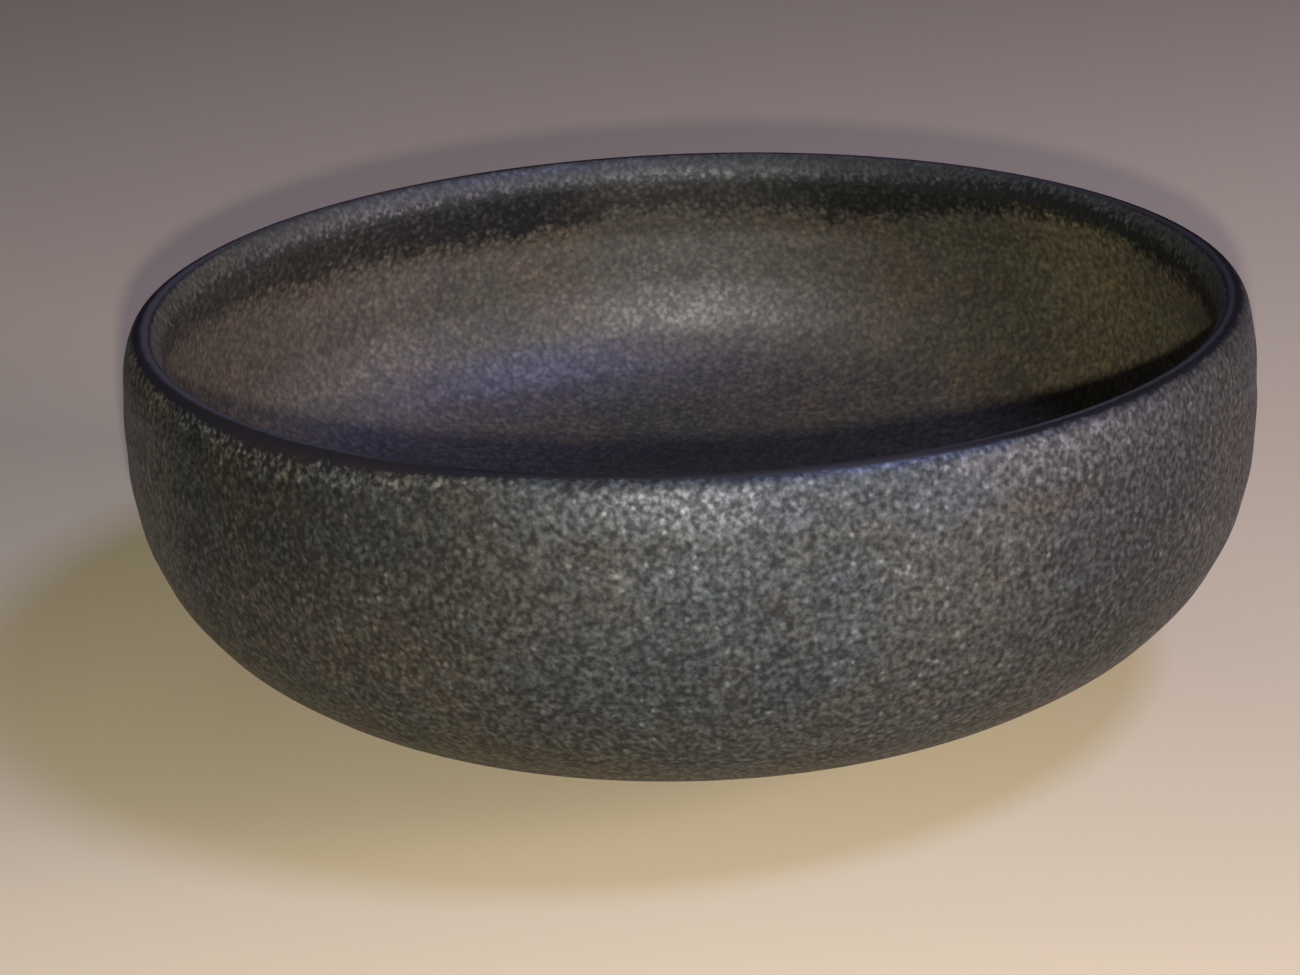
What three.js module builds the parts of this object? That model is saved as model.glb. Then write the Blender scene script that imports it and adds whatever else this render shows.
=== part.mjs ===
// A wide, low stoneware tea bowl, as it is made at the wheel. The clay body is thrown first, a foot ring
// is joined to its base, and glaze goes on in three coats: outside, inside, and a smooth one on the lip.
// Millimetres, +Z up. The origin is the centre of the ring that the bowl stands on.
import * as THREE from "three";

// Driving dimensions
const BELLY_RADIUS = 72;
const LIP_RADIUS = 68.4;
const RIM_HEIGHT = 51;
const FOOT_HEIGHT = 4;
const FOOT_RADIUS = 29;
const FOOT_WALL = 4.5;
const WALL = 4.2;
const FLOOR = 6.3;
const GLAZE = 0.6;
const SEGMENTS = 48;

// Sizes that follow from them
const BELLY_HEIGHT = FOOT_HEIGHT + 0.463 * BELLY_RADIUS;
const BASE_RADIUS = 0.42 * BELLY_RADIUS;
const BASE_HEIGHT = FOOT_HEIGHT + GLAZE;
const INNER_RADIUS = BELLY_RADIUS - WALL;
const INNER_FLOOR = FOOT_HEIGHT + FLOOR;
const INNER_BELLY = BELLY_HEIGHT + 1;
const THROAT_RADIUS = LIP_RADIUS - 1.8;
const THROAT_HEIGHT = RIM_HEIGHT - 3.8;

const point = (radius, height) => new THREE.Vector2(radius, height);

// A quarter of a superellipse, from the end where it runs level to the end where it runs upright. The two
// exponents are for its radius and its height: 2 and 2 give an ellipse, higher ones a squarer curve.
function quarter(flatEnd, steepEnd, [radial, upright], steps) {
  return Array.from({ length: steps + 1 }, (_, i) => {
    const angle = (i / steps) * (Math.PI / 2);
    const across = Math.sin(angle) ** (2 / radial);
    const along = 1 - Math.cos(angle) ** (2 / upright);
    return point(
      flatEnd.x + (steepEnd.x - flatEnd.x) * across,
      flatEnd.y + (steepEnd.y - flatEnd.y) * along,
    );
  });
}

// The outside: the belly below its widest place, then the shoulder, which turns in to the crown of the lip.
const crown = point(LIP_RADIUS, RIM_HEIGHT);
const widest = point(BELLY_RADIUS, BELLY_HEIGHT);
const belly = quarter(point(BASE_RADIUS, FOOT_HEIGHT), widest, [2.42, 2.42], 9);
const shoulder = quarter(crown, widest, [3.4, 2], 8).reverse().slice(1);

// The inside: the lip's slanted inner face, the undercut below it, and the well down to the floor's middle.
const lipInside = quarter(crown, point(THROAT_RADIUS, THROAT_HEIGHT), [1.6, 2], 3).slice(1);
const undercut = point(INNER_RADIUS - 0.25, THROAT_HEIGHT - 4);
const well = quarter(point(0, INNER_FLOOR), point(INNER_RADIUS, INNER_BELLY), [3.4, 3.4], 10).reverse();

const surface = [...belly, ...shoulder, ...lipInside, undercut, ...well];
const lipStart = belly.length + shoulder.length - 3;
const lipEnd = belly.length + shoulder.length + lipInside.length - 1;

// The clay's face under the glaze: each point of the glazed surface, moved in by the glaze's thickness.
const clayFace = surface.map((here, i) => {
  if (i === 0) return point(here.x, BASE_HEIGHT);
  if (i === surface.length - 1) return point(0, here.y - GLAZE);
  const along = surface[i + 1].clone().sub(surface[i - 1]).normalize();
  return point(here.x - along.y * GLAZE, here.y + along.x * GLAZE);
});

// A solid turned about the bowl's axis from a closed profile, with +Z as the axis.
function turned(name, profile, material) {
  const closed = profile[0].equals(profile.at(-1)) ? profile : [...profile, profile[0].clone()];
  const geometry = new THREE.LatheGeometry(closed, SEGMENTS);
  geometry.rotateX(Math.PI / 2);
  const mesh = new THREE.Mesh(geometry, material);
  mesh.name = name;
  return mesh;
}

// A coat of glaze on a stretch of the surface.
function coat(name, from, to, material) {
  const face = surface.slice(from, to + 1);
  const back = clayFace.slice(from, to + 1).reverse();
  return turned(name, [...face, ...back], material);
}

const bareClay = new THREE.MeshStandardMaterial({ color: 0x4a3a30, roughness: 0.9, metalness: 0 });
const outerGlaze = new THREE.MeshStandardMaterial({ color: 0x33332e, roughness: 0.5, metalness: 0.05 });
const innerGlaze = new THREE.MeshStandardMaterial({ color: 0x3f382f, roughness: 0.45, metalness: 0.05 });
const lipGlaze = new THREE.MeshStandardMaterial({ color: 0x231f24, roughness: 0.35, metalness: 0.05 });

function clayBody() {
  return turned("clay_body", [point(0, BASE_HEIGHT), ...clayFace], bareClay);
}

// The foot ring tapers a little towards the face it stands on, and its edges are eased.
function footRing() {
  const ease = 0.6;
  const taper = 0.8;
  const inside = FOOT_RADIUS - FOOT_WALL;
  return turned(
    "foot_ring",
    [
      point(inside + taper + ease, 0),
      point(FOOT_RADIUS - ease, 0),
      point(FOOT_RADIUS, ease),
      point(FOOT_RADIUS + taper, BASE_HEIGHT),
      point(inside, BASE_HEIGHT),
      point(inside + taper, ease),
    ],
    bareClay,
  );
}

const bowl = new THREE.Group();
bowl.add(clayBody());
bowl.add(footRing());
bowl.add(coat("outer_glaze", 0, lipStart, outerGlaze));
bowl.add(coat("lip_glaze", lipStart, lipEnd, lipGlaze));
bowl.add(coat("inner_glaze", lipEnd, surface.length - 1, innerGlaze));

export default bowl;
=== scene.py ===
"""A wide, low tea bowl in dark, speckled glaze: a thrown clay body on a turned foot ring, with one glaze
outside, a browner one in the well, and a lip that is smooth along its crown.

Metres, +Z up, standing on z = 0."""

import math

import bmesh
import bpy
from mathutils import Matrix, Vector, noise


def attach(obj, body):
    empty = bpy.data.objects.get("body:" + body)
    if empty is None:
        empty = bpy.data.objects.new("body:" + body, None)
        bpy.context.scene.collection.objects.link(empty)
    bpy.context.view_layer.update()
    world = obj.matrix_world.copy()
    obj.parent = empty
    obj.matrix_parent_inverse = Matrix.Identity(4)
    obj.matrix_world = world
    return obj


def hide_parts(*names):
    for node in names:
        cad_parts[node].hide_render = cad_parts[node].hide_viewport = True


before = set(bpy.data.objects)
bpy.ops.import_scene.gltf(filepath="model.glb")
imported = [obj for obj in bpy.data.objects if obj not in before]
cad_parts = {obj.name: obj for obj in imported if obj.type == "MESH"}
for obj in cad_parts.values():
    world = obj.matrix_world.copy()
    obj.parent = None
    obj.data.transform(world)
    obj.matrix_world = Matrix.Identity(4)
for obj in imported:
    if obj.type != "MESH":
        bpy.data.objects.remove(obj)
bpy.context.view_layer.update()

bl_info = {
    "name": "Speckled Tea Bowl",
    "version": (1, 0, 0),
    "blender": (4, 5, 0),
    "location": "3D Viewport > Sidebar > Tea Bowl",
    "description": "Builds a wheel-thrown tea bowl in dark speckled glaze",
    "category": "Add Mesh",
}

MM = 0.001

# Steps along the outline. The lip's coat takes the last LIP_STEPS of the shoulder, and the lip's inner face.
BELLY_STEPS = 44
SHOULDER_STEPS = 56
LIP_STEPS = 14
INNER_LIP_STEPS = 14
UNDERCUT_STEPS = 12
WELL_STEPS = 50

# The outline's curves: the exponents that quarter() takes, for radius and height
BELLY_CURVE = (2.42, 2.42)
SHOULDER_CURVE = (3.4, 2.0)
INNER_LIP_CURVE = (1.6, 2.0)
WELL_CURVE = (3.4, 3.4)

# Shares of the belly's radius: the radius of the flat base, and how far above it the bowl is widest
BASE_SHARE = 0.42
BELLY_RISE = 0.463

# In millimetres: how far in from the crown and how far below it the lip's inner face ends, how much higher
# than the belly the well is widest, and the rounding and the taper of the foot ring
THROAT_IN = 1.8
THROAT_DOWN = 3.8
WELL_RAISED = 1
FOOT_EASE = 0.6
FOOT_TAPER = 0.8

# What the thrower's hands leave, in millimetres: rings that wind up the wall, a slow wander of the wall, and
# the radius within which both die away. For the rings' spacing, height counts RING_LEAN times as much as
# width does. The wander's scale is to the metre, and the foot has a share of it all.
RING_SPACING = 7.5
RING_DEPTH = 0.10
RING_LEAN = 1.7
WANDER_DEPTH = 0.16
WANDER_SCALE = 28.0
STEADY_RADIUS = 12
FOOT_UNEVENNESS = 0.4

# Turning a solid: when points are the same, on the axis, merged or collapsed, in metres, and the angle from
# which an edge stays sharp, in degrees
SAME_POINT = 1e-9
ON_AXIS = 1e-6
MERGED = 1e-7
COLLAPSED = 1e-8
SHARP_ANGLE = 35

# A Mix node's colour sockets share their names with its other sockets, so they are found by number.
MIX_COLOUR_A = 6
MIX_COLOUR_B = 7
MIX_COLOUR_RESULT = 2

# Soft noises: scale to the metre, detail and roughness
FINE_HEAPS = (1450.0, 1.0, 0.5)
WIDE_HEAPS = (750.0, 1.0, 0.5)
PALE_DRIFTS = (75.0, 3.0, 0.6)
COLOUR_CLOUDS = (85.0, 3.0, 0.6)
WAVES = (170.0, 2.0, 0.5)
STRIP_EDGE = (1000.0, 2.0, 0.6)
FACE_EDGE = (700.0, 2.0, 0.6)
RIDGE_EDGE = (900.0, 1.0, 0.5)
POOL_EDGE = (160.0, 3.0, 0.6)
WELL_FINE_HEAPS = (1350.0, 1.0, 0.5)
WELL_WIDE_HEAPS = (700.0, 1.0, 0.5)
WELL_DRIFTS = (60.0, 3.0, 0.6)
WELL_CLOUDS = (55.0, 3.0, 0.6)
WELL_WAVES = (140.0, 2.0, 0.5)
SAND = (260.0, 5.0, 0.65)
GRIT = (1500.0, 4.0, 0.7)

# What moves the specks, the patches and the sand about: a noise's scale to the metre, and how far it reaches
STIRRED = (1500.0, 0.4 * MM)
DRIFTING = (60.0, 16 * MM)
SAND_STIRRED = (2600.0, 0.3 * MM)

# Specks: how many cells there are to a metre
FLECKS_OUTSIDE = 1100.0
SPARKS_OUTSIDE = 950.0
FLECKS_INSIDE = 1050.0
SAND_GRAINS = 1700.0

# Where a speck fades, from its cell's middle, the random numbers that give a cell a spark or iron sand, and
# how strong the dullest fleck and the darkest iron sand are
FLECK_FADE = (0.15, 0.85)
SPARK_FADE = (0.05, 0.42)
SPARK_CHANCE = (0.70, 0.85)
IRON_CHANCE = (0.86, 0.95)
DULLEST_FLECK = 0.35
DARKEST_IRON = 0.7

# Colours that don't depend on the glaze's own
NEUTRAL = (1.0, 1.0, 1.0, 1.0)
RIDGE = (0.075, 0.070, 0.070, 1.0)
# The black under the lip is pooled glaze, deepened by painted shade.
POOL_AND_SHADE_BLACK = (0.008, 0.009, 0.008, 1.0)
IRON_SAND = (0.05, 0.035, 0.025, 1.0)
WHITE_LIGHT = (1.0, 1.0, 1.0)
SKY_COLOUR = (1.0, 0.82, 1.0, 1.0)

# Casts that multiply a colour
BLUE_FLECK = (0.84, 0.96, 1.0, 1.0)
RUST_FLECK = (1.0, 0.88, 0.72, 1.0)
SLATE_CLOUD = (0.78, 0.90, 1.04, 1.0)
BROWN_CLOUD = (1.20, 1.03, 0.84, 1.0)
GREEN_CLOUD = (0.86, 0.96, 0.92, 1.0)
TAN_CLOUD = (1.14, 1.02, 0.90, 1.0)
# Painted warm light, for the lip's inner face at the left
PAINTED_WARM_LIGHT = (1.45, 1.3, 1.1, 1.0)
# Painted light, with an olive tint, for the well's right wall below the rim
OLIVE_LIGHT_CAST = (1.6, 1.65, 1.4, 1.0)
COOL_CAST = (1.05, 1.28, 1.75, 1.0)

# Patches of the glaze: the middle and the radius, in millimetres
BRIGHT_PATCH = ((27, -65, 40), 24)
SLATE_PATCH = ((48, -55, 34), 22)
BROWN_PATCH = ((-68, -22, 38), 26)
QUIET_PATCH = ((-50, -50, 45), 26)
COOL_PATCH = ((10, -71, 35), 38)
# Painted light: this patch brightens the well's right wall below the rim, with an olive tint.
OLIVE_LIGHT_PATCH = ((64, 22, 46), 36)

# Patches of the outside, with how much paler and how much browner the specks are there
SPECK_PATCHES = (
    (BRIGHT_PATCH, 0.12, 0.10),
    (SLATE_PATCH, -0.04, -0.10),
    (BROWN_PATCH, 0.16, 0.12),
    (QUIET_PATCH, -0.08, 0.0),
)

# The share of a patch's radius in which it is at its strongest
PATCH_CORE = 0.25

# What changes round the rim, in millimetres or as a share: stops of (turn, value). The turn is the sine of
# the angle from the front, from -1 at the far left to 1 at the far right.
STRIP_WIDTH = (
    (-1.0, 1.4), (-0.85, 1.7), (-0.68, 2.1), (-0.45, 1.8), (-0.25, 1.0), (-0.1, 0.8), (0.1, 1.1), (0.3, 1.3),
    (0.55, 1.3), (1.0, 1.4))
STRIP_INSIDE = ((-1.0, 0.8), (-0.85, 0.4), (-0.3, 0.2), (0.35, 0.2), (0.7, 0.3), (1.0, 0.6))
STRIP_PALE = ((-1.0, 0.4), (-0.7, 0.2), (-0.4, 0.1), (0.3, 0.1), (0.6, 0.0))
STRIP_GLEAM = ((-1.0, 0.06), (-0.4, 0.08), (-0.1, 0.40), (0.3, 0.80), (0.5, 0.05))
BEADS = ((-1.0, 0.8), (-0.7, 1.0), (-0.3, 0.4), (0.0, 0.0))
RIDGE_SHARE = ((-1.0, 1.0), (-0.6, 0.8), (-0.35, 0.0), (0.3, 0.0), (0.55, 0.8), (1.0, 0.5))
# The pool under the lip is pooled glaze darkened by painted shade.
POOL_RAISED = ((0.45, 0.0), (0.75, 1.8), (0.9, 1.3), (1.0, 0.0))
POOL_DEPTH = (
    (-1.0, 1.0), (-0.8, 3.4), (-0.35, 4.4), (-0.1, 2.2), (0.15, 1.8), (0.35, 3.0), (0.6, 1.0), (0.8, 0.0))
POOL_AND_SHADE_SHARE = ((-1.0, 0.6), (-0.5, 0.85), (-0.3, 0.9), (-0.1, 0.6), (0.15, 0.6), (0.35, 0.85), (0.8, 0.9))
# Painted warm light on the lip's inner face, strongest at the far left
FACE_WARM_LIGHT = ((-1.0, 1.0), (-0.6, 0.0))

# Heights below the crown, in millimetres. Under the first, a point always counts as outside the crown. Over
# the second, only its radius counts.
BELLY_DOWN = 13
SHOULDER_DOWN = 7

# The smooth strip, the row of beads beside it and the lip's inner face, in millimetres from their edges: how
# far each edge is frayed, and where it fades. The ridge's strength is a share.
STRIP_FRAYED = 1.1
STRIP_FADE = (-0.2, 0.2)
FACE_FRAYED = 0.5
FACE_FADE = (-0.2, 0.1)
BEADS_START = (-0.3, 0.1)
BEADS_END = (0.3, 1.1)
RIDGE_FRAYED = 0.4
RIDGE_FADE = (0.1, 0.7)
RIDGE_STRENGTH = 0.7

# The pool of glaze under the lip, blackened further by painted shade, in millimetres: how far below the
# crown its line is, how far its grains and a soft noise move its edges, how deep it is at the least, and
# where its edges fade. The well's brown starts at its line.
POOL_DOWN = 3.0
POOL_LINE_FRAYED = 3
POOL_WANDER = 5
POOL_FRAYED = -6
POOL_LEAST = 2.6
POOL_TOP_FADE = (0.0, 1.8)
POOL_END_FADE = (-2.8, 0.6)
WALL_FADE = (-1.0, 0.2)

# Painted shadow on the far corner of the floor, where the near lip's shadow falls: where it starts towards
# the back and how high it reaches, in millimetres, and how much of the darker colour shows there
SHADOW_BAND_BACK = (34, 46)
SHADOW_BAND_UP = (11.5, 14)
SHADOW_BAND_SHARE = 0.6

# How strongly the glazes bend light
OUTSIDE_IOR = 1.58
INSIDE_IOR = 1.74

# How a finish follows the specks or the sand: a low and a high paleness, and the value at each
SPECK_ROUGHNESS = (0.05, 0.5, 0.58, 0.50)
SPECK_GLEAM = (-0.10, 0.70, 0.17, 0.83)
FACE_GLEAM = (0.0, 0.60, 0.34, 0.50)
WELL_ROUGHNESS = (0.05, 0.5, 0.58, 0.52)
WELL_GLEAM = (0.0, 0.60, 0.40, 0.58)
WELL_POOL_GLEAM = (0.1, 0.65, 0.06, 0.28)
CLAY_ROUGHNESS = (0.3, 0.7, 0.75, 0.92)

# Finishes of the places without pale specks. The pool takes the lip face's gleam down by a share.
STRIP_ROUGHNESS = 0.48
POOL_GLEAM = 0.15
POOL_GLEAM_SHARE = 0.8
# The painted shadow on the far corner of the floor gleams less too.
SHADOW_BAND_GLEAM = 0.25

# Relief: its strength and its height. The strip has only a share of the specks' relief.
SPECK_RELIEF = (1.0, 0.03 * MM)
WAVE_RELIEF = (0.25, 0.6 * MM)
WELL_WAVE_RELIEF = (0.2, 0.6 * MM)
GRIT_RELIEF = (0.7, 0.3 * MM)
STRIP_RELIEF = 0.15

# The lights: degrees from behind the bowl round to its right, degrees up, distance and panel in metres, and
# colour. Each one's power is the studio's setting of the same name. They face a point above the table.
LIT_HEIGHT = 0.04
LIGHTS = {
    "side": (110, 13.0, 0.83, (0.30, 0.23), (1.0, 0.85, 0.98)),
    "window": (120, 60, 0.83, (0.18, 0.18), (0.34, 0.39, 1.0)),
    "back": (345, 55, 0.9, (0.5, 0.5), WHITE_LIGHT),
    "front": (180.6, 16.3, 0.389, (0.006, 0.006), (1.0, 0.98, 0.99)),
}

# The camera: its height and tilt in degrees, its distance in metres, and the point that it faces, its lens
# and its sensor in millimetres
CAMERA_RAISED = 20.6
CAMERA_TILT = 2.49
CAMERA_REACH = 0.3919
CAMERA_FACES = (-5.56, 0.0, 24.05)
CAMERA_LENS = 83.08
CAMERA_SENSOR = 36.0

# The plain floor: half its width, in metres, and how matte it is
FLOOR_REACH = 3.0
FLOOR_ROUGHNESS = 0.9


# Sizes and colours


class TeaBowlShape(bpy.types.PropertyGroup):
    belly_radius: bpy.props.FloatProperty(
        name="Belly Radius", description="Radius at the widest place", default=0.072, unit="LENGTH")
    lip_radius: bpy.props.FloatProperty(
        name="Lip Radius", description="Radius of the lip's crown", default=0.0684, unit="LENGTH")
    rim_height: bpy.props.FloatProperty(
        name="Rim Height", description="Height of the crown above the table", default=0.051, unit="LENGTH")
    foot_height: bpy.props.FloatProperty(
        name="Foot Height", description="Height of the flat base", default=0.004, unit="LENGTH")
    foot_radius: bpy.props.FloatProperty(
        name="Foot Radius", description="Outer radius of the foot ring", default=0.029, unit="LENGTH")
    foot_wall: bpy.props.FloatProperty(
        name="Foot Wall", description="Thickness of the foot ring", default=0.0045, unit="LENGTH")
    wall: bpy.props.FloatProperty(
        name="Wall", description="Thickness of the glazed wall at the belly", default=0.0042, unit="LENGTH")
    floor: bpy.props.FloatProperty(
        name="Floor", description="Thickness of the floor in the middle", default=0.0063, unit="LENGTH")
    glaze: bpy.props.FloatProperty(
        name="Glaze", description="Thickness of each coat of glaze", default=0.0006, unit="LENGTH")
    steps: bpy.props.IntProperty(
        name="Steps", description="Steps around the bowl", default=288, min=24)


class TeaBowlGlaze(bpy.types.PropertyGroup):
    ground: bpy.props.FloatVectorProperty(
        name="Ground", description="Dark glass between the specks", subtype="COLOR", size=4,
        default=(0.009, 0.009, 0.0075, 1.0))
    olive: bpy.props.FloatVectorProperty(
        name="Olive Specks", description="Colour of the commonest specks", subtype="COLOR", size=4,
        default=(0.020, 0.0215, 0.017, 1.0))
    tan: bpy.props.FloatVectorProperty(
        name="Tan Specks", description="Colour of the iron specks", subtype="COLOR", size=4,
        default=(0.037, 0.038, 0.029, 1.0))
    cream: bpy.props.FloatVectorProperty(
        name="Cream Specks", description="Colour of the palest specks", subtype="COLOR", size=4,
        default=(0.088, 0.088, 0.073, 1.0))
    inside: bpy.props.FloatVectorProperty(
        name="Inside", description="Brown of the glaze inside", subtype="COLOR", size=4,
        default=(0.051, 0.040, 0.020, 1.0))
    lip: bpy.props.FloatVectorProperty(
        name="Lip", description="Purple-black of the smooth lip", subtype="COLOR", size=4,
        default=(0.018, 0.0155, 0.0165, 1.0))
    clay: bpy.props.FloatVectorProperty(
        name="Clay", description="Colour of the bare fired clay", subtype="COLOR", size=4,
        default=(0.16, 0.105, 0.068, 1.0))


class TeaBowlStudio(bpy.types.PropertyGroup):
    floor_colour: bpy.props.FloatVectorProperty(
        name="Floor", description="Colour of the plain floor", subtype="COLOR", size=4,
        default=(0.68, 0.56, 0.33, 1.0))
    window: bpy.props.FloatProperty(
        name="Window", description="Power of the bluish light high on the right", default=3.6, unit="POWER")
    side: bpy.props.FloatProperty(
        name="Side", description="Power of the low light on the right", default=4.3, unit="POWER")
    front: bpy.props.FloatProperty(
        name="Front", description="Power of the small light under the camera", default=1.66, unit="POWER")
    back: bpy.props.FloatProperty(
        name="Back", description="Power of the large light behind the bowl", default=0.3, unit="POWER")
    sky: bpy.props.FloatProperty(
        name="Sky", description="Strength of the even light all round", default=0.008, min=0.0)


# Profiles


def quarter(level, upright, exponents, steps):
    """A quarter of a superellipse from its level end to its upright end, as (radius, height).

    The exponents are for its radius and its height: 2 and 2 give an ellipse, higher ones a squarer curve.
    """
    points = []
    for i in range(steps + 1):
        angle = i / steps * math.pi / 2
        across = math.sin(angle) ** (2 / exponents[0])
        along = 1 - math.cos(angle) ** (2 / exponents[1])
        points.append((
            level[0] + (upright[0] - level[0]) * across,
            level[1] + (upright[1] - level[1]) * along))
    return points


def belly_height(shape):
    """The height at which the bowl is widest."""
    return shape.foot_height + BELLY_RISE * shape.belly_radius


def glazed_outside(shape):
    """From the edge of the flat base, over the belly and the shoulder, to the crown of the lip."""
    base = (BASE_SHARE * shape.belly_radius, shape.foot_height)
    widest = (shape.belly_radius, belly_height(shape))
    crown = (shape.lip_radius, shape.rim_height)
    shoulder = quarter(crown, widest, SHOULDER_CURVE, SHOULDER_STEPS)[::-1]
    return quarter(base, widest, BELLY_CURVE, BELLY_STEPS) + shoulder[1:]


def glazed_inside(shape):
    """From the crown, down the lip's inner face, under it, and down the well to the middle of the floor."""
    crown = (shape.lip_radius, shape.rim_height)
    throat = (shape.lip_radius - THROAT_IN * MM, shape.rim_height - THROAT_DOWN * MM)
    widest = (shape.belly_radius - shape.wall, belly_height(shape) + WELL_RAISED * MM)
    middle = (0.0, shape.foot_height + shape.floor)
    under = []
    for i in range(1, UNDERCUT_STEPS):
        share = i / UNDERCUT_STEPS
        ease = share * share * (3 - 2 * share)
        under.append((
            throat[0] + (widest[0] - throat[0]) * ease,
            throat[1] + (widest[1] - throat[1]) * share))
    well = quarter(middle, widest, WELL_CURVE, WELL_STEPS)[::-1]
    return quarter(crown, throat, INNER_LIP_CURVE, INNER_LIP_STEPS) + under + well


def behind(line, depth):
    """The same line, moved by depth into the clay: to the left of the way it runs."""
    moved = []
    for i, (radius, height) in enumerate(line):
        before, after = line[max(i - 1, 0)], line[min(i + 1, len(line) - 1)]
        along = Vector((after[0] - before[0], after[1] - before[1])).normalized()
        moved.append((max(radius - along.y * depth, 0.0), height + along.x * depth))
    return moved


def rounded(middle, radius, start, end, steps=6):
    """An arc of (radius, height) points from one angle to another, in degrees from level outwards."""
    angles = [math.radians(start + (end - start) * i / steps) for i in range(steps + 1)]
    return [(middle[0] + radius * math.cos(angle), middle[1] + radius * math.sin(angle)) for angle in angles]


# Turning


def hand_made(x, y, z):
    """How far the thrower's hands left the wall short of a true round, in millimetres."""
    around = math.atan2(y, x)
    climb = math.hypot(x, y, z * RING_LEAN)
    rings = 0.5 + 0.5 * math.sin(climb * 2 * math.pi / (RING_SPACING * MM) + around)
    wander = 0.5 + 0.5 * noise.noise(Vector((x, y, z)) * WANDER_SCALE)
    return RING_DEPTH * rings + WANDER_DEPTH * wander


def turned(name, profile, shape, unevenness=1.0):
    """A closed profile of (radius, height) points, turned about the bowl's axis into a solid."""
    shell = bmesh.new()
    line = [shell.verts.new((radius, 0.0, height)) for radius, height in profile]
    for a, b in zip(line, line[1:] + line[:1]):
        along_axis = a.co.x < SAME_POINT and b.co.x < SAME_POINT
        if (a.co - b.co).length > SAME_POINT and not along_axis:
            shell.edges.new((a, b))
    bmesh.ops.spin(
        shell, geom=shell.verts[:] + shell.edges[:], cent=(0, 0, 0), axis=(0, 0, 1),
        angle=2 * math.pi, steps=shape.steps, use_merge=True, use_normal_flip=False, use_duplicate=False)
    bmesh.ops.remove_doubles(shell, verts=shell.verts, dist=MERGED)
    bmesh.ops.dissolve_degenerate(shell, edges=shell.edges, dist=COLLAPSED)
    bmesh.ops.recalc_face_normals(shell, faces=shell.faces)
    for vert in shell.verts:
        x, y, z = vert.co
        radius = math.hypot(x, y)
        if radius > ON_AXIS:
            short = hand_made(x, y, z) * MM * unevenness * min(1.0, radius / (STEADY_RADIUS * MM))
            vert.co.x -= x / radius * short
            vert.co.y -= y / radius * short
    for face in shell.faces:
        face.smooth = True
    for edge in shell.edges:
        edge.smooth = edge.calc_face_angle(0.0) < math.radians(SHARP_ANGLE)
    mesh = bpy.data.meshes.new(name)
    shell.to_mesh(mesh)
    shell.free()
    piece = bpy.data.objects.new(name, mesh)
    bpy.context.collection.objects.link(piece)
    return piece


def finish_piece(piece, node, material):
    """Give a piece its material, hang it under the root body and hide the frame's node that it stands for.
    """
    piece.data.materials.append(material)
    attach(piece, "root")
    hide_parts(node)


# Materials


def shade(colour, *shares):
    """A colour made lighter or darker by one share for all of it, or by one for each channel."""
    shares = shares if len(shares) == 3 else shares * 3
    return [channel * share for channel, share in zip(colour[:3], shares)] + [1.0]


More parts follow.
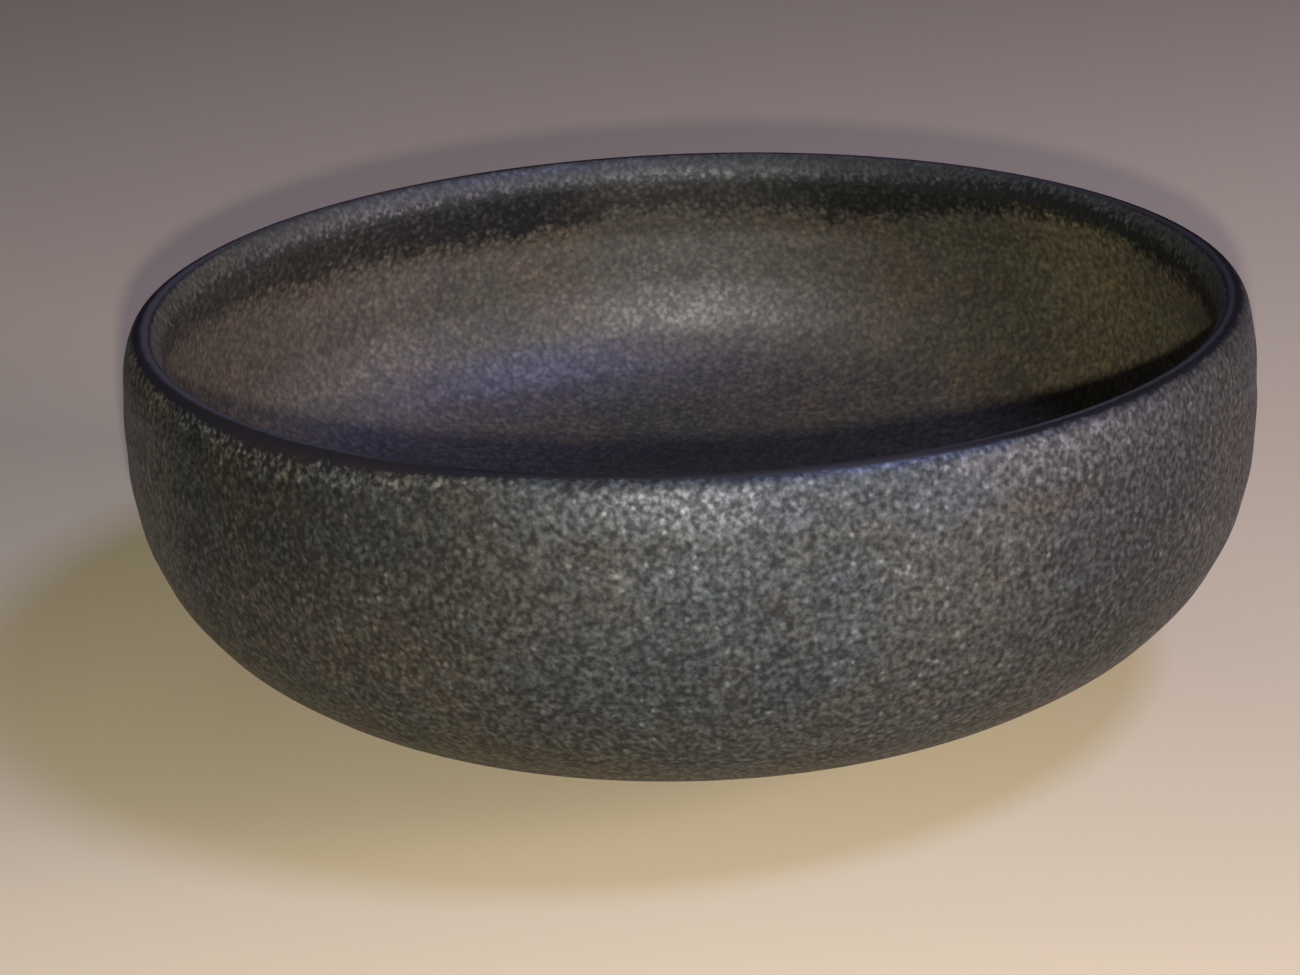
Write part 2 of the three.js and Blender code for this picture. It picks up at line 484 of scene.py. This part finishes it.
class Finish:
    """A material under construction, with short calls for the nodes that clay and glaze are made of."""

    def __init__(self, name):
        self.material = bpy.data.materials.new(name)
        self.material.use_nodes = True
        self.nodes = self.material.node_tree.nodes
        self.links = self.material.node_tree.links
        self.place = self.nodes.new("ShaderNodeTexCoord").outputs["Object"]

    def finished(self, **looks):
        """The material, with its shader fed. Each look is named after its socket, as base_color is."""
        sockets = self.nodes["Principled BSDF"].inputs
        names = {socket.name.lower().replace(" ", "_"): socket for socket in sockets}
        for name, value in looks.items():
            self.feed(names[name], value)
        return self.material

    def feed(self, socket, value):
        """Link a socket to another, or set it to a value."""
        if isinstance(value, bpy.types.NodeSocket):
            self.links.new(value, socket)
        else:
            socket.default_value = value

    def math(self, operation, a, b=0.0):
        """One operation on one or two numbers."""
        node = self.nodes.new("ShaderNodeMath")
        node.operation = operation
        self.feed(node.inputs[0], a)
        self.feed(node.inputs[1], b)
        return node.outputs[0]

    def total(self, *terms, start=0.0):
        """The start and the sum of (value, weight) pairs."""
        result = start
        for value, weight in terms:
            node = self.nodes.new("ShaderNodeMath")
            node.operation = "MULTIPLY_ADD"
            self.feed(node.inputs[0], value)
            node.inputs[1].default_value = weight
            self.feed(node.inputs[2], result)
            result = node.outputs[0]
        return result

    def span(self, value, low, high, out_low=0.0, out_high=1.0, smooth=True):
        """A value from low to high, turned into one from out_low to out_high."""
        node = self.nodes.new("ShaderNodeMapRange")
        node.interpolation_type = "SMOOTHSTEP" if smooth else "LINEAR"
        for socket, number in zip(node.inputs[:5], (value, low, high, out_low, out_high)):
            self.feed(socket, number)
        return node.outputs[0]

    def until(self, value, ends, unit=1.0):
        """1 below the first of two ends, fading to 0 at the second."""
        return self.span(value, ends[0] * unit, ends[1] * unit, 1.0, 0.0)

    def beyond(self, value, ends, unit=1.0):
        """0 below the first of two ends, rising to 1 at the second."""
        return self.span(value, ends[0] * unit, ends[1] * unit)

    def clouds(self, scale, detail, roughness, output="Fac"):
        """Soft noise about 0.5."""
        node = self.nodes.new("ShaderNodeTexNoise")
        self.feed(node.inputs["Vector"], self.place)
        node.inputs["Scale"].default_value = scale
        node.inputs["Detail"].default_value = detail
        node.inputs["Roughness"].default_value = roughness
        return node.outputs[output]

    def centred(self, soft_noise):
        """The clouds of a (scale, detail, roughness), moved to wander about 0."""
        return self.math("SUBTRACT", self.clouds(*soft_noise), 0.5)

    def mix(self, share, a, b, blend="MIX"):
        """Two colours, mixed or blended by a share of the second."""
        node = self.nodes.new("ShaderNodeMix")
        node.data_type = "RGBA"
        node.blend_type = blend
        self.feed(node.inputs["Factor"], share)
        self.feed(node.inputs[MIX_COLOUR_A], a)
        self.feed(node.inputs[MIX_COLOUR_B], b)
        return node.outputs[MIX_COLOUR_RESULT]

    def mix_value(self, share, a, b):
        """Two numbers, mixed by a share of the second."""
        node = self.nodes.new("ShaderNodeMix")
        self.feed(node.inputs["Factor"], share)
        self.feed(node.inputs["A"], a)
        self.feed(node.inputs["B"], b)
        return node.outputs["Result"]

    def ramp(self, value, stops):
        """A value turned into a colour by stops of (value, colour)."""
        node = self.nodes.new("ShaderNodeValToRGB")
        self.feed(node.inputs["Fac"], value)
        while len(node.color_ramp.elements) < len(stops):
            node.color_ramp.elements.new(0.5)
        for element, (place, colour) in zip(node.color_ramp.elements, stops):
            element.position = place
            element.color = colour
        return node.outputs["Color"]

    def bump(self, height, relief, below=None):
        """A relief of (strength, height), on top of another one if there is one below it."""
        node = self.nodes.new("ShaderNodeBump")
        node.inputs["Strength"].default_value, node.inputs["Distance"].default_value = relief
        self.feed(node.inputs["Height"], height)
        if below is not None:
            self.feed(node.inputs["Normal"], below)
        return node.outputs["Normal"]

    def along(self):
        """The three object coordinates."""
        node = self.nodes.new("ShaderNodeSeparateXYZ")
        self.feed(node.inputs[0], self.place)
        return node.outputs["X"], node.outputs["Y"], node.outputs["Z"]

    def vector(self, operation, a, b):
        """One operation on two vectors, or on a vector and a number."""
        node = self.nodes.new("ShaderNodeVectorMath")
        node.operation = operation
        self.feed(node.inputs[0], a)
        self.feed(node.inputs["Scale" if operation == "SCALE" else 1], b)
        return node.outputs["Value" if operation == "DISTANCE" else 0]

    def shaken(self, scale, amount):
        """Object coordinates moved about by a noise, so that what lies on them gets ragged edges."""
        centred = self.vector("SUBTRACT", self.clouds(scale, 1.0, 0.5, "Color"), (0.5, 0.5, 0.5))
        return self.vector("ADD", self.place, self.vector("SCALE", centred, amount))

    def near(self, patch, place):
        """1 in the core of a patch, fading to 0 at its radius."""
        middle, radius = patch
        distance = self.vector("DISTANCE", place, [part * MM for part in middle])
        return self.until(distance, (PATCH_CORE, 1.0), radius * MM)

    def cells(self, scale, place):
        """Crowded cells: the distance from a cell's middle, and two random numbers for each cell."""
        node = self.nodes.new("ShaderNodeTexVoronoi")
        self.feed(node.inputs["Vector"], place)
        node.inputs["Scale"].default_value = scale
        parts = self.nodes.new("ShaderNodeSeparateColor")
        self.feed(parts.inputs[0], node.outputs["Color"])
        return node.outputs["Distance"], parts.outputs[0], parts.outputs[1]

    def flecks(self, scale, place):
        """Crowded round flecks: how pale a point is, from 0 to 1, and its fleck's random tint."""
        distance, chance, tint = self.cells(scale, place)
        strength = self.span(chance, 0.0, 1.0, DULLEST_FLECK, 1.0, smooth=False)
        return self.math("MULTIPLY", self.until(distance, FLECK_FADE), strength), tint

    def sparks(self, scale, place):
        """Small bright specks, in about one cell out of four."""
        distance, chance, _ = self.cells(scale, place)
        return self.math("MULTIPLY", self.until(distance, SPARK_FADE), self.beyond(chance, SPARK_CHANCE))

    def rim(self, shape):
        """How far a point lies outside the crown, and the sine of its turn from the front to the right.

        The belly, which is narrower than the crown lower down, counts as outside it all over.
        """
        x, y, z = self.along()
        squares = self.math("ADD", self.math("MULTIPLY", x, x), self.math("MULTIPLY", y, y))
        across = self.math("SQRT", squares)
        belly = self.span(
            z, shape.rim_height - BELLY_DOWN * MM, shape.rim_height - SHOULDER_DOWN * MM,
            shape.lip_radius, 0.0)
        outward = self.total((across, 1.0), (belly, 1.0), start=-shape.lip_radius)
        return outward, self.math("DIVIDE", x, across)

    def round_the_rim(self, turn, stops, unit=1.0):
        """A value that changes round the rim."""
        return self.ramp(self.span(turn, -1.0, 1.0, smooth=False), [
            ((place + 1) / 2, (value * unit, value * unit, value * unit, 1.0)) for place, value in stops])

    def pooled_and_shaded(self, shape, turn, grains):
        """The black pool of glaze under the lip, with painted shade, deep left of the middle and a thin line
        at the far right.

        Gives how black a point is, from 0 to 1, and how far it lies above the line where the glaze pools.
        """
        height = self.along()[2]
        raised = self.round_the_rim(turn, POOL_RAISED, MM)
        above = self.total(
            (height, 1.0), (raised, -1.0), (grains, POOL_LINE_FRAYED * MM),
            start=POOL_DOWN * MM - shape.rim_height)
        depth = self.total(
            (self.centred(POOL_EDGE), POOL_WANDER * MM), (grains, POOL_FRAYED * MM), (above, 1.0),
            (self.round_the_rim(turn, POOL_DEPTH, MM), 1.0), start=POOL_LEAST * MM)
        below = self.until(above, POOL_TOP_FADE, MM)
        black = self.math("MULTIPLY", self.beyond(depth, POOL_END_FADE, MM), below)
        return self.math("MULTIPLY", black, self.round_the_rim(turn, POOL_AND_SHADE_SHARE)), above


def lip_zones(work, outward, turn):
    """Where the lip is bare of specks, where its inner face is, and how beaded the specks' edge is."""
    edge = work.total(
        (outward, 1.0), (work.round_the_rim(turn, STRIP_WIDTH, MM), -1.0),
        (work.centred(STRIP_EDGE), -STRIP_FRAYED * MM))
    inner_edge = work.total(
        (outward, 1.0), (work.round_the_rim(turn, STRIP_INSIDE, MM), 1.0),
        (work.centred(FACE_EDGE), FACE_FRAYED * MM))
    inner_face = work.until(inner_edge, FACE_FADE, MM)
    bare = work.math("MULTIPLY", work.until(edge, STRIP_FADE, MM), work.math("SUBTRACT", 1.0, inner_face))
    beaded = work.math("MULTIPLY", work.until(edge, BEADS_END, MM), work.beyond(edge, BEADS_START, MM))
    return bare, inner_face, work.math("MULTIPLY", beaded, work.round_the_rim(turn, BEADS))


def speckled(work, glaze, beaded):
    """The specks' colour, and how pale a point is: crowded flecks, heaped by soft noise, and some sparks."""
    stirred = work.shaken(*STIRRED)
    drifting = work.shaken(*DRIFTING)
    large, hue = work.flecks(FLECKS_OUTSIDE, stirred)
    heaps = work.total((work.centred(FINE_HEAPS), 1.0), (work.centred(WIDE_HEAPS), 0.36))
    beads = work.math("MULTIPLY", beaded, work.span(heaps, -0.15, 0.15, 0.2, 1.0))
    patches = [(work.near(patch, drifting), paler, browner) for patch, paler, browner in SPECK_PATCHES]
    pale = work.total(
        (large, 0.30), (work.sparks(SPARKS_OUTSIDE, stirred), 0.34), (heaps, 1.0), (beads, 0.42),
        (work.centred(PALE_DRIFTS), 0.18), *((patch, paler) for patch, paler, _ in patches), start=0.09)
    colour = work.ramp(pale, [
        (0.08, glaze.ground), (0.30, glaze.olive), (0.50, glaze.tan), (0.75, glaze.cream)])
    tint = work.ramp(hue, [(0.0, BLUE_FLECK), (0.45, NEUTRAL), (1.0, RUST_FLECK)])
    colour = work.mix(0.5, colour, tint, "MULTIPLY")
    clouded = work.total(
        (work.clouds(*COLOUR_CLOUDS), 1.0), *((patch, browner) for patch, _, browner in patches))
    cloud = work.ramp(clouded, [(0.34, SLATE_CLOUD), (0.5, NEUTRAL), (0.64, BROWN_CLOUD)])
    colour = work.mix(0.9, colour, cloud, "MULTIPLY")
    colour = work.mix(work.near(COOL_PATCH, drifting), colour, COOL_CAST, "MULTIPLY")
    return colour, pale


def bare_strip(work, glaze, outward, turn):
    """The smooth, purple-black strip along the crown, where a thin ridge shows paler at both sides."""
    away = work.total((work.math("ABSOLUTE", outward), 1.0), (work.centred(RIDGE_EDGE), RIDGE_FRAYED * MM))
    crest = work.span(away, RIDGE_FADE[0] * MM, RIDGE_FADE[1] * MM, RIDGE_STRENGTH, 0.0)
    ridge = work.math("MULTIPLY", crest, work.round_the_rim(turn, RIDGE_SHARE))
    strip = work.mix(work.round_the_rim(turn, STRIP_PALE), shade(glaze.lip, 0.6), shade(glaze.lip, 2.0))
    return work.mix(ridge, strip, RIDGE)


def lip_face(work, glaze, turn, pale, pool_and_shade, above):
    """The lip's inner face: calm, fine grains, warmed at the left by painted light, and below them the black
    pool, with painted shade, and the brown of the well.
    """
    grains = work.ramp(pale, [
        (0.05, shade(glaze.tan, 0.6)), (0.30, glaze.tan), (0.65, shade(glaze.tan, 1.75))])
    wall = work.ramp(pale, [
        (0.0, shade(glaze.inside, 0.5)), (0.3, shade(glaze.inside, 1.2, 1.25, 1.1)),
        (0.6, shade(glaze.inside, 2.6, 2.7, 2.4))])
    # Painted light: the lip's inner face at the far left is warmed and brightened.
    grains = work.mix(work.round_the_rim(turn, FACE_WARM_LIGHT), grains, PAINTED_WARM_LIGHT, "MULTIPLY")
    face = work.mix(work.until(above, WALL_FADE, MM), grains, wall)
    return work.mix(pool_and_shade, face, POOL_AND_SHADE_BLACK)


def outside_glaze(glaze, shape):
    """Dark glass crowded with pale specks, which stop short of the smooth strip along the crown.

    The lip's coat has it too, so it also holds the lip's inner face.
    """
    work = Finish("speckled_glaze")
    outward, turn = work.rim(shape)
    bare, inner_face, beaded = lip_zones(work, outward, turn)
    specks, pale = speckled(work, glaze, beaded)
    # Pooled glaze under the lip, blackened further by painted shade
    pool_and_shade, above = work.pooled_and_shaded(shape, turn, pale)
    outer = work.mix(bare, specks, bare_strip(work, glaze, outward, turn))
    colour = work.mix(inner_face, outer, lip_face(work, glaze, turn, pale, pool_and_shade, above))
    rough = work.mix_value(bare, work.span(pale, *SPECK_ROUGHNESS), STRIP_ROUGHNESS)
    gleam = work.mix_value(
        bare, work.span(pale, *SPECK_GLEAM, smooth=False), work.round_the_rim(turn, STRIP_GLEAM))
    calmed = work.math("MULTIPLY", pool_and_shade, POOL_GLEAM_SHARE)
    calm = work.mix_value(calmed, work.span(pale, *FACE_GLEAM), POOL_GLEAM)
    relief = work.math("MULTIPLY", pale, work.span(bare, 0.0, 1.0, 1.0, STRIP_RELIEF, smooth=False))
    grain = work.bump(relief, SPECK_RELIEF)
    return work.finished(
        base_color=colour, ior=OUTSIDE_IOR, roughness=rough,
        specular_ior_level=work.mix_value(inner_face, gleam, calm),
        normal=work.bump(work.clouds(*WAVES), WAVE_RELIEF, grain))


def inside_glaze(glaze, shape):
    """The glaze in the well: browner, with low, soft flecks, and black where it pools under the lip,
    deepened by painted shade.
    """
    work = Finish("well_glaze")
    large, _ = work.flecks(FLECKS_INSIDE, work.shaken(*STIRRED))
    pale = work.total(
        (large, 0.38), (work.centred(WELL_FINE_HEAPS), 0.85), (work.centred(WELL_WIDE_HEAPS), 0.34),
        (work.centred(WELL_DRIFTS), 0.25), start=0.10)
    brown = work.ramp(pale, [
        (0.0, shade(glaze.inside, 0.45)), (0.3, glaze.inside), (0.6, shade(glaze.inside, 1.8))])
    cloud = work.ramp(work.clouds(*WELL_CLOUDS), [(0.36, GREEN_CLOUD), (0.5, NEUTRAL), (0.64, TAN_CLOUD)])
    brown = work.mix(0.8, brown, cloud, "MULTIPLY")
    # Painted light: the well's right wall below the rim is brightened, with an olive tint.
    painted_olive_light = work.near(OLIVE_LIGHT_PATCH, work.shaken(*DRIFTING))
    brown = work.mix(painted_olive_light, brown, OLIVE_LIGHT_CAST, "MULTIPLY")
    # Painted shadow: the back corner of the floor, where the near lip's shadow falls, is darkened and
    # dulled.
    _, y, z = work.along()
    far = work.span(y, SHADOW_BAND_BACK[0] * MM, SHADOW_BAND_BACK[1] * MM, 0.0, SHADOW_BAND_SHARE)
    painted_shadow = work.math("MULTIPLY", far, work.until(z, SHADOW_BAND_UP, MM))
    brown = work.mix(painted_shadow, brown, shade(glaze.inside, 0.35))
    _, turn = work.rim(shape)
    # Pooled glaze under the lip, blackened further by painted shade
    pool_and_shade, _ = work.pooled_and_shaded(shape, turn, pale)
    black = work.ramp(pale, [
        (0.15, shade(POOL_AND_SHADE_BLACK, 0.75)), (0.4, shade(POOL_AND_SHADE_BLACK, 1.4)), (0.65, shade(POOL_AND_SHADE_BLACK, 3.5))])
    gleam = work.mix_value(painted_shadow, work.span(pale, *WELL_GLEAM, smooth=False), SHADOW_BAND_GLEAM)
    gleam = work.mix_value(pool_and_shade, gleam, work.span(pale, *WELL_POOL_GLEAM))
    grain = work.bump(pale, SPECK_RELIEF)
    return work.finished(
        base_color=work.mix(pool_and_shade, brown, black), ior=INSIDE_IOR,
        roughness=work.span(pale, *WELL_ROUGHNESS), specular_ior_level=gleam,
        normal=work.bump(work.clouds(*WELL_WAVES), WELL_WAVE_RELIEF, grain))


def bare_clay(glaze):
    """Fired stoneware, sandy and matte, with dark iron grains."""
    work = Finish("bare_clay")
    body = work.clouds(*SAND)
    _, chance, _ = work.cells(SAND_GRAINS, work.shaken(*SAND_STIRRED))
    colour = work.ramp(body, [
        (0.25, shade(glaze.clay, 0.6)), (0.5, glaze.clay), (0.8, shade(glaze.clay, 1.5))])
    colour = work.mix(work.span(chance, *IRON_CHANCE, 0.0, DARKEST_IRON), colour, IRON_SAND)
    return work.finished(
        base_color=colour, roughness=work.span(body, *CLAY_ROUGHNESS),
        normal=work.bump(work.clouds(*GRIT), GRIT_RELIEF))


# Operators


class TEABOWL_OT_body(bpy.types.Operator):
    """Throw the clay body that the glazes lie on"""

    bl_idname = "teabowl.body"
    bl_label = "Clay Body"

    def execute(self, context):
        shape, glaze = context.scene.tea_bowl_shape, context.scene.tea_bowl_glaze
        base = shape.foot_height + shape.glaze
        surface = glazed_outside(shape) + glazed_inside(shape)[1:]
        face = behind(surface, shape.glaze)
        face[0] = (surface[0][0], base)
        face[-1] = (0.0, surface[-1][1] - shape.glaze)
        piece = turned("thrown_body", [(0.0, base)] + face, shape)
        finish_piece(piece, "clay_body", bare_clay(glaze))
        return {"FINISHED"}


class TEABOWL_OT_foot(bpy.types.Operator):
    """Turn the foot ring that the bowl stands on, in the body's clay"""

    bl_idname = "teabowl.foot"
    bl_label = "Foot Ring"

    def execute(self, context):
        shape = context.scene.tea_bowl_shape
        ease, taper, top = FOOT_EASE * MM, FOOT_TAPER * MM, shape.foot_height + shape.glaze
        inner, outer = shape.foot_radius - shape.foot_wall, shape.foot_radius
        outer_edge = rounded((outer - ease, ease), ease, -90, 0)
        inner_edge = rounded((inner + taper + ease, ease), ease, -180, -90)
        profile = outer_edge + [(outer + taper, top), (inner, top)] + inner_edge
        piece = turned("turned_foot", profile, shape, FOOT_UNEVENNESS)
        finish_piece(piece, "foot_ring", bpy.data.materials["bare_clay"])
        return {"FINISHED"}


class TEABOWL_OT_lip(bpy.types.Operator):
    """Glaze the lip, from the shoulder over the crown to the end of its inner face"""

    bl_idname = "teabowl.lip"
    bl_label = "Lip Glaze"

    def execute(self, context):
        shape, glaze = context.scene.tea_bowl_shape, context.scene.tea_bowl_glaze
        line = glazed_outside(shape)[-LIP_STEPS - 1:] + glazed_inside(shape)[1:INNER_LIP_STEPS + 1]
        piece = turned("lip_coat", line + behind(line, shape.glaze)[::-1], shape)
        finish_piece(piece, "lip_glaze", outside_glaze(glaze, shape))
        return {"FINISHED"}


class TEABOWL_OT_outside(bpy.types.Operator):
    """Glaze the outside, from the base to just below the lip, in the lip's glaze"""

    bl_idname = "teabowl.outside"
    bl_label = "Outer Glaze"

    def execute(self, context):
        shape = context.scene.tea_bowl_shape
        line = glazed_outside(shape)[:-LIP_STEPS]
        back = behind(line, shape.glaze)[::-1]
        back[-1] = (line[0][0], shape.foot_height + shape.glaze)
        piece = turned("outer_coat", line + back, shape)
        finish_piece(piece, "outer_glaze", bpy.data.materials["speckled_glaze"])
        return {"FINISHED"}


class TEABOWL_OT_inside(bpy.types.Operator):
    """Glaze the well, from under the lip to the middle of the floor"""

    bl_idname = "teabowl.inside"
    bl_label = "Inner Glaze"

    def execute(self, context):
        shape, glaze = context.scene.tea_bowl_shape, context.scene.tea_bowl_glaze
        line = glazed_inside(shape)[INNER_LIP_STEPS:]
        back = behind(line, shape.glaze)[::-1]
        back[0] = (0.0, line[-1][1] - shape.glaze)
        piece = turned("inner_coat", line + back, shape)
        finish_piece(piece, "inner_glaze", inside_glaze(glaze, shape))
        return {"FINISHED"}


def plain_floor(colour):
    """A wide, flat floor in one pale colour."""
    grid = bmesh.new()
    bmesh.ops.create_grid(grid, x_segments=1, y_segments=1, size=FLOOR_REACH)
    mesh = bpy.data.meshes.new("floor")
    grid.to_mesh(mesh)
    grid.free()
    mesh.materials.append(Finish("plain_floor").finished(base_color=colour, roughness=FLOOR_ROUGHNESS))
    floor = bpy.data.objects.new("floor", mesh)
    bpy.context.collection.objects.link(floor)
    return floor


def even_light(strength):
    """A dim light from all round."""
    world = bpy.data.worlds.new("studio")
    world.use_nodes = True
    world.node_tree.nodes["Background"].inputs["Color"].default_value = SKY_COLOUR
    world.node_tree.nodes["Background"].inputs["Strength"].default_value = strength
    return world


def soft_light(name, power, around, raised, reach, size, colour):
    """A light panel that faces the bowl. Around is in degrees from behind the bowl towards its right."""
    turn, lift = math.radians(around), math.radians(raised)
    target = Vector((0.0, 0.0, LIT_HEIGHT))
    away = Vector((math.sin(turn) * math.cos(lift), math.cos(turn) * math.cos(lift), math.sin(lift)))
    lamp = bpy.data.lights.new(name, "AREA")
    lamp.shape = "RECTANGLE"
    lamp.size, lamp.size_y = size
    lamp.energy = power
    lamp.color = colour
    holder = bpy.data.objects.new(name, lamp)
    holder.location = target + away * reach
    holder.rotation_euler = away.to_track_quat("Z", "Y").to_euler()
    bpy.context.collection.objects.link(holder)


def hand_held_camera():
    """A camera held close, a little above the bowl and slightly tilted."""
    raised, tilt = math.radians(CAMERA_RAISED), math.radians(CAMERA_TILT)
    target = Vector(CAMERA_FACES) * MM
    back = Vector((0.0, -math.cos(raised), math.sin(raised)))
    level = Vector((1.0, 0.0, 0.0))
    upward = Vector((0.0, math.sin(raised), math.cos(raised)))
    right = level * math.cos(tilt) - upward * math.sin(tilt)
    up = level * math.sin(tilt) + upward * math.cos(tilt)
    turn = Matrix((right, up, back)).transposed().to_4x4()
    camera = bpy.data.objects.new("camera", bpy.data.cameras.new("camera"))
    camera.data.sensor_width = CAMERA_SENSOR
    camera.data.lens = CAMERA_LENS
    camera.matrix_world = Matrix.Translation(target + back * CAMERA_REACH) @ turn
    bpy.context.collection.objects.link(camera)
    return camera


class TEABOWL_OT_stage(bpy.types.Operator):
    """Set up the plain floor, the soft lights and the camera"""

    bl_idname = "teabowl.stage"
    bl_label = "Stage"

    def execute(self, context):
        studio = context.scene.tea_bowl_studio
        plain_floor(studio.floor_colour)
        context.scene.world = even_light(studio.sky)
        for name, place_and_look in LIGHTS.items():
            soft_light(name, getattr(studio, name), *place_and_look)
        context.scene.camera = hand_held_camera()
        context.scene.view_settings.view_transform = "Standard"
        return {"FINISHED"}


class TEABOWL_PT_panel(bpy.types.Panel):
    """Lists the bowl's sizes, colours and lights, and makes its pieces"""

    bl_idname = "TEABOWL_PT_panel"
    bl_label = "Tea Bowl"
    bl_space_type = "VIEW_3D"
    bl_region_type = "UI"
    bl_category = "Tea Bowl"

    def draw(self, context):
        column = self.layout.column()
        for group in GROUPS:
            settings = getattr(context.scene, group)
            for name in settings.__annotations__:
                column.prop(settings, name)
        for step in STEPS:
            column.operator(step.bl_idname)


GROUPS = {"tea_bowl_shape": TeaBowlShape, "tea_bowl_glaze": TeaBowlGlaze, "tea_bowl_studio": TeaBowlStudio}
STEPS = (
    TEABOWL_OT_stage, TEABOWL_OT_body, TEABOWL_OT_foot,
    TEABOWL_OT_lip, TEABOWL_OT_outside, TEABOWL_OT_inside)
CLASSES = (*GROUPS.values(), *STEPS, TEABOWL_PT_panel)


def register():
    for each in CLASSES:
        bpy.utils.register_class(each)
    for name, group in GROUPS.items():
        setattr(bpy.types.Scene, name, bpy.props.PointerProperty(type=group))


def unregister():
    for name in GROUPS:
        delattr(bpy.types.Scene, name)
    for each in reversed(CLASSES):
        bpy.utils.unregister_class(each)


def main():
    register()
    bpy.ops.teabowl.stage()
    bpy.ops.teabowl.body()
    bpy.ops.teabowl.foot()
    bpy.ops.teabowl.lip()
    bpy.ops.teabowl.outside()
    bpy.ops.teabowl.inside()


if __name__ == "__main__":
    main()
